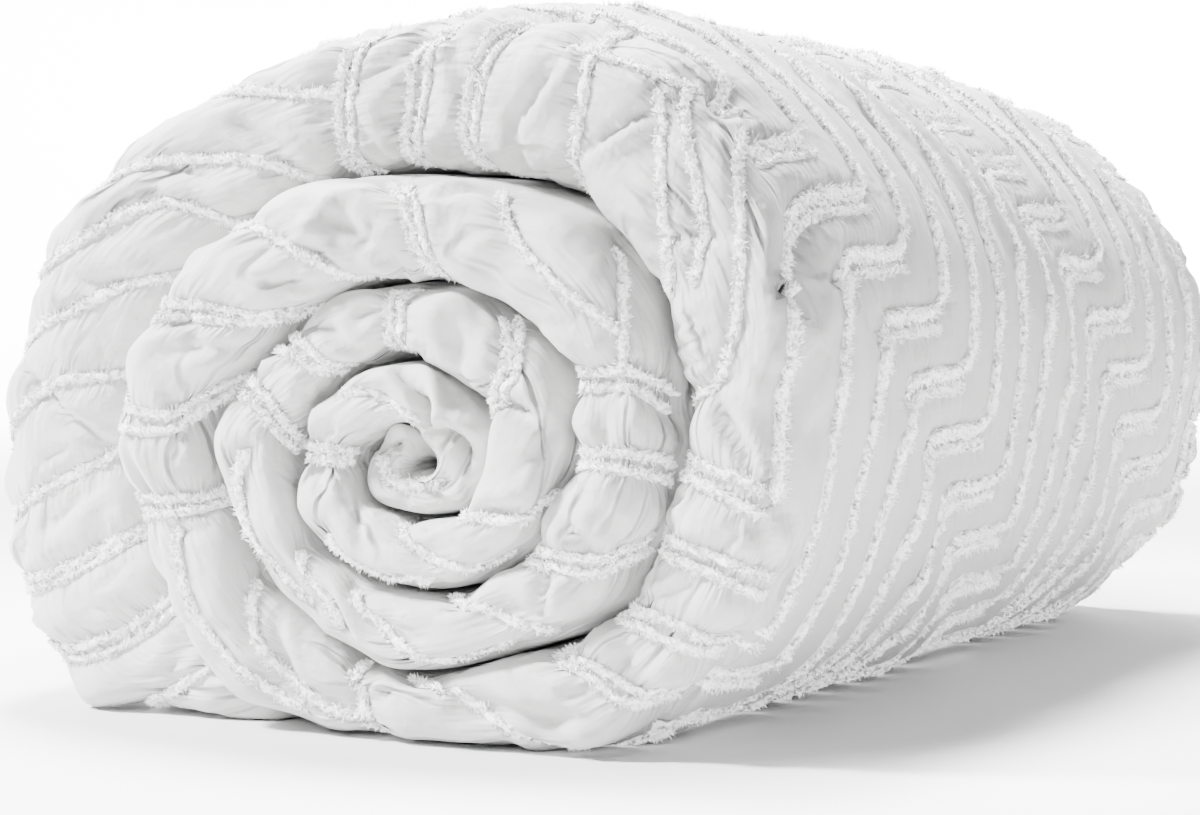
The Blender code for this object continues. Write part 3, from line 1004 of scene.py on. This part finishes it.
def cut_yarn(color):
    """Cut cotton yarn, loosely spun: matte and fluffy, with soft shade painted between its ends and a painted
    glow on them.
    """
    material, tree, shader = new_material("cut_cotton_yarn", Roughness=0.9, Sheen_Weight=0.3,
                                          Sheen_Roughness=0.6, Emission_Color=(1.0, 1.0, 1.0, 1.0))
    place = add_node(tree, "TexCoord")
    cloth = add_node(tree, "Attribute", {"attribute_name": "upright"})
    upright = add_node(tree, "VectorTransform",
                       {"vector_type": "NORMAL", "convert_from": "OBJECT", "convert_to": "WORLD"},
                       {"Vector": cloth.outputs["Vector"]})
    own = add_node(tree, "NewGeometry")
    mixed = add_node(tree, "Mix", {"data_type": "VECTOR"},
                     {4: own.outputs["Normal"], 5: upright.outputs["Vector"]}, Factor=SHADED_AS_CLOTH)
    soft = add_node(tree, "VectorMath", {"operation": "NORMALIZE"}, {0: mixed.outputs[1]})
    # strands about 2 mm apart
    strands = add_node(tree, "TexNoise", None, {"Vector": place.outputs["Object"]},
                       Scale=450.0, Detail=1.0, Roughness=0.6)
    bump = add_node(tree, "Bump", None,
                    {"Height": strands.outputs["Fac"], "Normal": soft.outputs["Vector"]},
                    Strength=0.8, Distance=0.0012)
    tree.links.new(bump.outputs["Normal"], shader.inputs["Normal"])
    # painted light and shade: the ends are painted brighter and glow, and the pits between the strands and at
    # their roots are painted darker
    pits = add_node(tree, "MapRange", None, {"Value": strands.outputs["Fac"]},
                    From_Min=0.38, From_Max=0.54, To_Min=0.15, To_Max=1.0)
    painted_light = add_node(tree, "Attribute", {"attribute_name": "painted_light"})
    lit = add_node(tree, "Math", {"operation": "MULTIPLY"},
                   {0: painted_light.outputs["Fac"], 1: pits.outputs["Result"]})
    paint = add_node(tree, "Mix", {"data_type": "RGBA"}, {"Factor": lit.outputs["Value"]})
    paint.inputs[6].default_value = [PIT_SHADE * part for part in color[:3]] + [1.0]
    paint.inputs[7].default_value = color
    tree.links.new(paint.outputs[2], shader.inputs["Base Color"])
    glow = add_node(tree, "Math", {"operation": "MULTIPLY"}, {0: lit.outputs["Value"]})
    glow.inputs[1].default_value = FIBRE_GLOW
    tree.links.new(glow.outputs["Value"], shader.inputs["Emission Strength"])
    return material


class Cover:
    """The finished cover as rows of places and normals, on which the tufting is sewn."""

    def __init__(self, piece):
        self.places = self.spread(piece.data, "co")
        self.normals = self.spread(piece.data, "normal")

    def spread(self, mesh, name):
        """One vector of every vertex, back in the order of the two sections."""
        values = np.zeros(len(mesh.vertices) * 3, np.float32)
        mesh.vertices.foreach_get(name, values)
        split = tube.shape[0] * tube.shape[1]
        flat = np.full((split + wrap.shape[0] * wrap.shape[1], 3), np.nan)
        flat[read_places(mesh)] = values.reshape(-1, 3)
        both = [flat[:split].reshape(*tube.shape, 3), flat[split:].reshape(*wrap.shape, 3)]
        for grid in both:
            grid[:, -1] = np.where(np.isnan(grid[:, -1]), grid[:, 0], grid[:, -1])
        return both

    def at(self, path):
        """Places and normals on the cover for a path of (along, across)."""
        values = np.zeros((len(path), 6))
        for number, (along, across) in enumerate(path):
            which = 0 if along < wrap.along[0] - 0.5 * ROW else 1
            section = (tube, wrap)[which]
            row = np.interp(along, section.along, np.arange(section.shape[0]))
            low = min(int(row), section.shape[0] - 2)
            for part, share in ((low, low + 1 - row), (low + 1, row - low)):
                col = np.interp(across, section.across[part], np.arange(section.shape[1]))
                left = min(int(col), section.shape[1] - 2)
                for grid, offset in ((self.places[which], 0), (self.normals[which], 3)):
                    mixed = grid[part, left] * (left + 1 - col) + grid[part, left + 1] * (col - left)
                    values[number, offset:offset + 3] += share * mixed
        return values[:, :3], unit(values[:, 3:])


# One tufted row: its soft core, whose section is given in half widths and heights
CORE_EVERY = 3
CORE_HALF_WIDTH = 0.0037
CORE_HEIGHT = 0.0038
CORE_SECTION = ((-1.0, -0.4), (-0.55, 0.85), (0.55, 0.85), (1.0, -0.4))
CORE_UNEVEN = (0.22, 0.20)
ROW_END = 0.004
ROW_END_SIZE = 0.35
LOWEST_YARN = 0.0002

# The clumps of cut yarn that stand out of the core: sizes of a yarn from fine to thick, and how
# unevenly the clumps and the yarns within them lie along the row, aside and towards its end
CLUMP_PITCH = 0.0042
CLUMP_PLACE = (0.15, 0.85)
CLUMP_LEAN = 0.40
CLUMP_TALL = (0.70, 1.20)
YARN_LENGTH = (0.0050, 0.0036)
YARN_LENGTH_RANGE = (0.80, 1.10)
YARN_HALF_WIDTH = (0.00055, 0.00120)
YARN_THICKNESS_SKEW = 1.5
YARN_UPRIGHT = (0.30, 0.95)
YARN_SCATTER = 1.1
YARN_FAN = 0.55
YARN_ASIDE = 0.22
YARN_TOWARD = 0.30
ROOT_WIDTH = 0.85
ROOT_HEIGHT = 0.45

# Painted light of the yarn: how far the light reaches, at the corners of the core and at the foot and tip of
# a yarn
CORE_PAINTED_LIGHT = (0.4, 0.9, 0.9, 0.4)
YARN_PAINTED_LIGHT = (0.5, 0.5, 0.5, 1.3)

# Yarns in a clump of every group, so few that each piece stays under 200,000 triangles
YARNS = {
    "lines_front": 17,
    "lines_back": 10,
    "steps": 12,
    "inner_folds": 17,
    "outer_folds": 17,
    "back_folds": 6,
}


def row_core(places, normals, sides, size, chance):
    """Points and faces of a row's core, a low lumpy cord."""
    count = len(places)
    ring = []
    for aside, up in CORE_SECTION:
        wide = CORE_HALF_WIDTH * size * (aside + chance.normal(0.0, CORE_UNEVEN[0], count))
        tall = CORE_HEIGHT * size * (up + chance.normal(0.0, CORE_UNEVEN[1], count))
        ring.append(places + sides * wide[:, None] + normals * tall[:, None])
    points = np.stack(ring, axis=1).reshape(-1, 3)
    base = np.arange(count - 1)[:, None] * 4
    corner = np.arange(4)
    after = (corner + 1) % 4
    faces = [base + np.array([[k, 4 + k, 4 + m, m]]) for k, m in zip(corner, after)]
    faces.append(np.array([[0, 1, 2, 3]]))
    faces.append((count - 1) * 4 + np.array([[3, 2, 1, 0]]))
    return points, np.concatenate(faces), np.repeat(normals, 4, axis=0), np.tile(CORE_PAINTED_LIGHT, count)


def row_yarns(places, normals, tangents, sides, size, lean, yarns, chance):
    """Points and faces of a row's cut yarns, which lean together in clumps."""
    # just short of the last place, so that every yarn lies between two
    last = len(places) - 1.001
    clumps = max(int(len(places) * PATH_STEP / CLUMP_PITCH), 2)
    clump = {
        "at": (np.arange(clumps) + chance.uniform(*CLUMP_PLACE, clumps)) / clumps * last,
        "aside": lean + chance.normal(0.0, CLUMP_LEAN, clumps),
        "toward": chance.normal(0.0, CLUMP_LEAN, clumps),
        "tall": chance.uniform(*CLUMP_TALL, clumps),
    }
    clump = {name: np.repeat(values, yarns) for name, values in clump.items()}
    count = clumps * yarns
    at = np.clip(clump["at"] + chance.normal(0.0, YARN_SCATTER, count), 0.0, last)
    low = at.astype(int)
    mix = (at - low)[:, None]
    place, up, toward, side = (
        values[low] * (1 - mix) + values[low + 1] * mix for values in (places, normals, tangents, sides)
    )
    big = size[low] * (1 - mix[:, 0]) + size[low + 1] * mix[:, 0]
    aside = chance.uniform(-1.0, 1.0, count)
    direction = up * chance.uniform(*YARN_UPRIGHT, count)[:, None]
    sideways = clump["aside"] + YARN_FAN * aside + chance.normal(0.0, YARN_ASIDE, count)
    direction += side * sideways[:, None]
    direction += toward * (clump["toward"] + chance.normal(0.0, YARN_TOWARD, count))[:, None]
    direction = unit(direction)
    thick = chance.uniform(0.0, 1.0, count) ** YARN_THICKNESS_SKEW
    length = np.interp(thick, (0.0, 1.0), YARN_LENGTH) * big * clump["tall"]
    length *= chance.uniform(*YARN_LENGTH_RANGE, count)
    root = place + side * (aside * CORE_HALF_WIDTH * ROOT_WIDTH * big)[:, None]
    root += up * (ROOT_HEIGHT * CORE_HEIGHT)
    # the small shift keeps the cross product off zero where a yarn stands upright
    across = unit(np.cross(direction, up + 0.01))
    other = np.cross(direction, across)
    half = (np.interp(thick, (0.0, 1.0), YARN_HALF_WIDTH) * big)[:, None]
    corners = []
    for corner in range(3):
        turn = 2.0 * math.pi * corner / 3.0
        corners.append(root + (across * math.cos(turn) + other * math.sin(turn)) * half)
    points = np.stack(corners + [root + direction * length[:, None]], axis=1).reshape(-1, 3)
    base = np.arange(count)[:, None] * 4
    faces = [base + np.array([corner]) for corner in ((0, 1, 3), (1, 2, 3), (2, 0, 3), (0, 2, 1))]
    return points, np.concatenate(faces), np.repeat(up, 4, axis=0), np.tile(YARN_PAINTED_LIGHT, count)


def joined_mesh(name, points, faces):
    """A mesh from arrays of points and of faces with as many corners each."""
    mesh = bpy.data.meshes.new(name)
    mesh.vertices.add(len(points))
    mesh.vertices.foreach_set("co", np.asarray(points, np.float32).ravel())
    corners = np.concatenate([block.ravel() for block in faces]).astype(np.int32)
    sizes = np.concatenate([np.full(len(block), block.shape[1], np.int32) for block in faces])
    mesh.loops.add(len(corners))
    mesh.loops.foreach_set("vertex_index", corners)
    mesh.polygons.add(len(sizes))
    mesh.polygons.foreach_set("loop_start", np.concatenate([[0], np.cumsum(sizes)[:-1]]).astype(np.int32))
    mesh.update(calc_edges=True)
    return mesh


def sew_rows(cover, group, rows, material, chance):
    """A group's rows of yarn, joined into one piece."""
    parts = []
    for _, path, size, lean in rows:
        places, normals = cover.at(path)
        tangents = unit(np.gradient(places, axis=0))
        sides = np.cross(normals, tangents)
        to_end = np.minimum(np.arange(len(path)), np.arange(len(path))[::-1]) * PATH_STEP
        size = size * np.clip(to_end / ROW_END, ROW_END_SIZE, 1.0)
        thin = np.unique(np.append(np.arange(0, len(path), CORE_EVERY), len(path) - 1))
        parts.append(row_core(places[thin], normals[thin], sides[thin], size[thin], chance))
        parts.append(row_yarns(places, normals, tangents, sides, size, lean, YARNS[group], chance))
    points, faces, uprights, painted_light = zip(*parts)
    first = np.concatenate([[0], np.cumsum([len(block) for block in points])])
    points = np.concatenate(points)
    points[:, 2] = np.maximum(points[:, 2], LOWEST_YARN)
    name = "tufting_" + group
    mesh = joined_mesh(name, points, [block + number for block, number in zip(faces, first)])
    add_attribute(mesh, "upright", "FLOAT_VECTOR", np.concatenate(uprights))
    # the yarn's painted light and shade: brighter and glowing at the ends, darker at the roots
    add_attribute(mesh, "painted_light", "FLOAT", np.concatenate(painted_light))
    piece = new_piece(name, mesh, material)
    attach(piece, "root")


# Where the cover's material shows pleats beside the seams, and its loose creases on the side
PLEAT_REACH = 0.009
LOOSE_ON_SIDE = 0.15


def build_cover(sizes, finish):
    """The cover as one closed skin."""
    for section in (tube, wrap):
        section.field = sewing.measure(section)
    mesh = bmesh.new()
    place = mesh.verts.layers.int.new("place")
    split = tube.shape[0] * tube.shape[1]
    add_section(mesh, tube, filled(tube, sizes), 0)
    add_section(mesh, wrap, filled(wrap, sizes), split)
    last_row, next_row = split - tube.shape[1], split + wrap.shape[1]
    joint = [edge for edge in mesh.edges
             if edge.is_boundary and all(last_row <= vert[place] < next_row for vert in edge.verts)]
    bmesh.ops.bridge_loops(mesh, edges=joint)
    bmesh.ops.holes_fill(mesh, edges=[edge for edge in mesh.edges if edge.is_boundary], sides=0)
    bmesh.ops.recalc_face_normals(mesh, faces=mesh.faces)
    data = bpy.data.meshes.new("duvet_cover")
    mesh.to_mesh(data)
    mesh.free()
    data.shade_smooth()
    values = []
    for section in (tube, wrap):
        grids = (section.along_grid, section.across, *section.field[:2], openness(section)[2])
        values.append(np.stack(grids, axis=2).reshape(-1, len(grids)))
    along, across, clear, pull, on_fold = np.concatenate(values)[read_places(data)].T
    corners = np.zeros(len(data.loops), int)
    data.loops.foreach_get("vertex_index", corners)
    layer = data.uv_layers.new(name="cloth")
    layer.data.foreach_set("uv", np.stack([along, across], axis=1)[corners].astype(np.float32).ravel())
    add_attribute(data, "pleated", "FLOAT", np.exp(-clear / PLEAT_REACH) * (pull > HARD_PULL))
    add_attribute(data, "loose", "FLOAT", np.clip(on_fold, LOOSE_ON_SIDE, 1.0))
    return new_piece("duvet_cover", data, brushed_cotton(finish.cotton))


class DuvetSizes(bpy.types.PropertyGroup):
    """Sizes of the cover that a user would change."""

    side_puff: FloatProperty(name="Side puff", description="Height of the fill between lines on the wrap",
                             default=0.0042, min=0.0, unit="LENGTH")
    fold_puff: FloatProperty(name="Fold puff", description="Height of the fill between rows on the folds",
                             default=0.0105, min=0.0, unit="LENGTH")
    pucker: FloatProperty(name="Pucker", description="Depth of the puckers beside a seam",
                          default=0.0017, min=0.0, unit="LENGTH")
    uneven: FloatProperty(name="Unevenness", description="How uneven the filling lies",
                          default=0.0075, min=0.0, unit="LENGTH")


class DuvetFinish(bpy.types.PropertyGroup):
    """Colours of the duvet and of the studio."""

    cotton: FloatVectorProperty(name="Cotton", description="Colour of the cover", subtype="COLOR",
                                size=4, default=linear("CACAC9"), min=0.0, max=1.0)
    yarn: FloatVectorProperty(name="Yarn", description="Colour of the cut yarn", subtype="COLOR",
                              size=4, default=linear("FDFDFC"), min=0.0, max=1.0)
    floor: FloatVectorProperty(name="Floor", description="Colour of the floor", subtype="COLOR",
                               size=4, default=linear("DCDCDC"), min=0.0, max=1.0)


class DUVET_OT_cover(bpy.types.Operator):
    """Wind and fill the cover"""

    bl_idname = "duvet.cover"
    bl_label = "Wind and fill the cover"

    def execute(self, context):
        piece = build_cover(context.scene.duvet_sizes, context.scene.duvet_finish)
        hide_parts("duvet")
        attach(piece, "root")
        return {"FINISHED"}


class DUVET_OT_tufting(bpy.types.Operator):
    """Sew the rows of cut yarn"""

    bl_idname = "duvet.tufting"
    bl_label = "Sew the tufting"

    def execute(self, context):
        cover = Cover(bpy.data.objects["duvet_cover"])
        material = cut_yarn(context.scene.duvet_finish.yarn)
        for seed, group in enumerate(YARNS):
            rows = [row for row in sewing.rows if row[0] == group]
            sew_rows(cover, group, rows, material, np.random.default_rng(40 + seed))
        return {"FINISHED"}


# The camera as fitted to the photo: its place, its turn from the roll's axis, its tilt and its lens
CAMERA_PLACE = (0.8724, -1.722, 0.264)
CAMERA_TURN = 28.0
CAMERA_DOWN = 3.16
CAMERA_LENS = 91.02
CAMERA_SENSOR = 36.0

# The studio's curved backdrop, its glow and its lights
FLOOR_RADIUS = 3.0
BEND_RADIUS = 1.2
BEND_FROM = 0.1
BEND_POINTS = 12
BACKDROP_TOP = 4.0
BACKDROP_SIDES = 72
FLOOR_LEVEL = -0.0004
WORLD_STRENGTH = 0.02
# the floor glows beyond the contact shadow: share of the reach and strength there, and where the
# glow ends towards the right and the front
GLOW = ((0.102, 0.0), (0.140, 3.0), (0.65, 3.0), (0.95, 0.0))
GLOW_REACH = (3.2, 4.2)
GLOW_RIGHT_END = (0.43, 0.55)
GLOW_FRONT_END = (-0.66, -0.85)
LIGHTS = (
    # name, place, aim, size, spread in degrees, watts
    ("key_light", (-2.3, -1.4, 2.5), (0.0, -0.2, 0.15), 0.6, 70.0, 108.0),
    ("top_light", (-0.6, 0.7, 2.8), (0.0, 0.1, 0.3), 0.9, 40.0, 38.0),
    ("backdrop_light_left", (-3.0, 1.6, 2.6), (-2.2, 3.2, 0.6), 1.0, 110.0, 500.0),
    ("backdrop_light_right", (0.4, 3.1, 2.6), (-1.2, 3.6, 0.6), 1.0, 110.0, 500.0),
)


def painted_floor(color):
    """Matt white studio paint, with a soft glow that keeps the floor bright round the contact shadow."""
    material, tree, shader = new_material("painted_studio_floor", Base_Color=color, Roughness=0.9,
                                          Emission_Color=(1.0, 1.0, 1.0, 1.0))
    place = add_node(tree, "TexCoord").outputs["Object"]
    scaled = add_node(tree, "Mapping", None, {"Vector": place},
                      Scale=(1.0 / GLOW_REACH[0], 1.0 / GLOW_REACH[1], 0.0))
    away = add_node(tree, "VectorMath", {"operation": "LENGTH"}, {0: scaled.outputs["Vector"]})
    glow = add_node(tree, "ValToRGB", None, {"Fac": away.outputs["Value"]})
    ramp = glow.color_ramp
    ramp.interpolation = "EASE"
    for part, _ in GLOW[1:-1]:
        ramp.elements.new(part)
    for stop, (part, strength) in zip(ramp.elements, GLOW):
        stop.position = part
        stop.color = (strength, strength, strength, 1.0)
    parts = add_node(tree, "SeparateXYZ", None, {"Vector": place})
    strength = glow.outputs["Color"]
    for axis, (full, none) in (("X", GLOW_RIGHT_END), ("Y", GLOW_FRONT_END)):
        fade = add_node(tree, "MapRange", None, {"Value": parts.outputs[axis]},
                        From_Min=full, From_Max=none, To_Min=1.0, To_Max=0.0)
        held = add_node(tree, "Math", {"operation": "MULTIPLY"},
                        {0: strength, 1: fade.outputs["Result"]})
        strength = held.outputs["Value"]
    tree.links.new(strength, shader.inputs["Emission Strength"])
    return material


class DUVET_OT_stage(bpy.types.Operator):
    """Set up the floor, the lights and the camera"""

    bl_idname = "duvet.stage"
    bl_label = "Set up the studio"

    def execute(self, context):
        scene = context.scene
        self.backdrop(scene.duvet_finish.floor)
        world = bpy.data.worlds.new("studio_world")
        world.use_nodes = True
        world.node_tree.nodes["Background"].inputs["Color"].default_value = (1.0, 1.0, 1.0, 1.0)
        world.node_tree.nodes["Background"].inputs["Strength"].default_value = WORLD_STRENGTH
        scene.world = world
        for name, place, aim, size, spread, power in LIGHTS:
            light = bpy.data.lights.new(name, "AREA")
            light.size = size
            light.spread = math.radians(spread)
            light.energy = power
            item = bpy.data.objects.new(name, light)
            scene.collection.objects.link(item)
            turn = (Vector(aim) - Vector(place)).to_track_quat("-Z", "Y").to_matrix()
            item.matrix_world = Matrix.Translation(place) @ turn.to_4x4()
        data = bpy.data.cameras.new("camera")
        data.sensor_width = CAMERA_SENSOR
        data.lens = CAMERA_LENS
        camera = bpy.data.objects.new("camera", data)
        scene.collection.objects.link(camera)
        turn = Matrix.Rotation(math.radians(CAMERA_TURN), 4, "Z")
        tilt = Matrix.Rotation(math.radians(90.0 - CAMERA_DOWN), 4, "X")
        camera.matrix_world = Matrix.Translation(CAMERA_PLACE) @ turn @ tilt
        scene.camera = camera
        return {"FINISHED"}

    def backdrop(self, color):
        """A round floor that bends up into a wall on every side."""
        mesh = bmesh.new()
        profile = [(0.0, 0.0), (FLOOR_RADIUS, 0.0)]
        for angle in np.linspace(BEND_FROM, math.pi / 2.0, BEND_POINTS):
            x = FLOOR_RADIUS + BEND_RADIUS * math.sin(angle)
            profile.append((x, BEND_RADIUS * (1.0 - math.cos(angle))))
        profile.append((FLOOR_RADIUS + BEND_RADIUS, BACKDROP_TOP))
        verts = [mesh.verts.new((x, 0.0, z + FLOOR_LEVEL)) for x, z in profile]
        edges = [mesh.edges.new(pair) for pair in zip(verts, verts[1:])]
        bmesh.ops.spin(mesh, geom=verts + edges, cent=(0, 0, 0), axis=(0, 0, 1), angle=math.tau,
                       steps=BACKDROP_SIDES, use_merge=True)
        bmesh.ops.remove_doubles(mesh, verts=mesh.verts, dist=MERGE_DISTANCE)
        bmesh.ops.recalc_face_normals(mesh, faces=mesh.faces)
        data = bpy.data.meshes.new("studio_floor")
        mesh.to_mesh(data)
        mesh.free()
        data.shade_smooth()
        new_piece("studio_floor", data, painted_floor(color))


class DUVET_PT_panel(bpy.types.Panel):
    """The steps of the duvet and its sizes"""

    bl_idname = "DUVET_PT_panel"
    bl_label = "Tufted duvet"
    bl_space_type = "VIEW_3D"
    bl_region_type = "UI"
    bl_category = "Duvet"

    def draw(self, context):
        layout = self.layout
        for group in (context.scene.duvet_sizes, context.scene.duvet_finish):
            for name in group.bl_rna.properties.keys():
                if name not in ("rna_type", "name"):
                    layout.prop(group, name)
        for operator in OPERATORS:
            layout.operator(operator.bl_idname)


OPERATORS = (DUVET_OT_cover, DUVET_OT_tufting, DUVET_OT_stage)
CLASSES = (DuvetSizes, DuvetFinish, *OPERATORS, DUVET_PT_panel)


def register():
    """Add the classes and their settings."""
    for item in CLASSES:
        bpy.utils.register_class(item)
    bpy.types.Scene.duvet_sizes = PointerProperty(type=DuvetSizes)
    bpy.types.Scene.duvet_finish = PointerProperty(type=DuvetFinish)


def unregister():
    """Take the classes and their settings away."""
    del bpy.types.Scene.duvet_sizes
    del bpy.types.Scene.duvet_finish
    for item in reversed(CLASSES):
        bpy.utils.unregister_class(item)


def main():
    """Run every step."""
    register()
    bpy.ops.duvet.stage()
    bpy.ops.duvet.cover()
    bpy.ops.duvet.tufting()


if __name__ == "__main__":
    main()
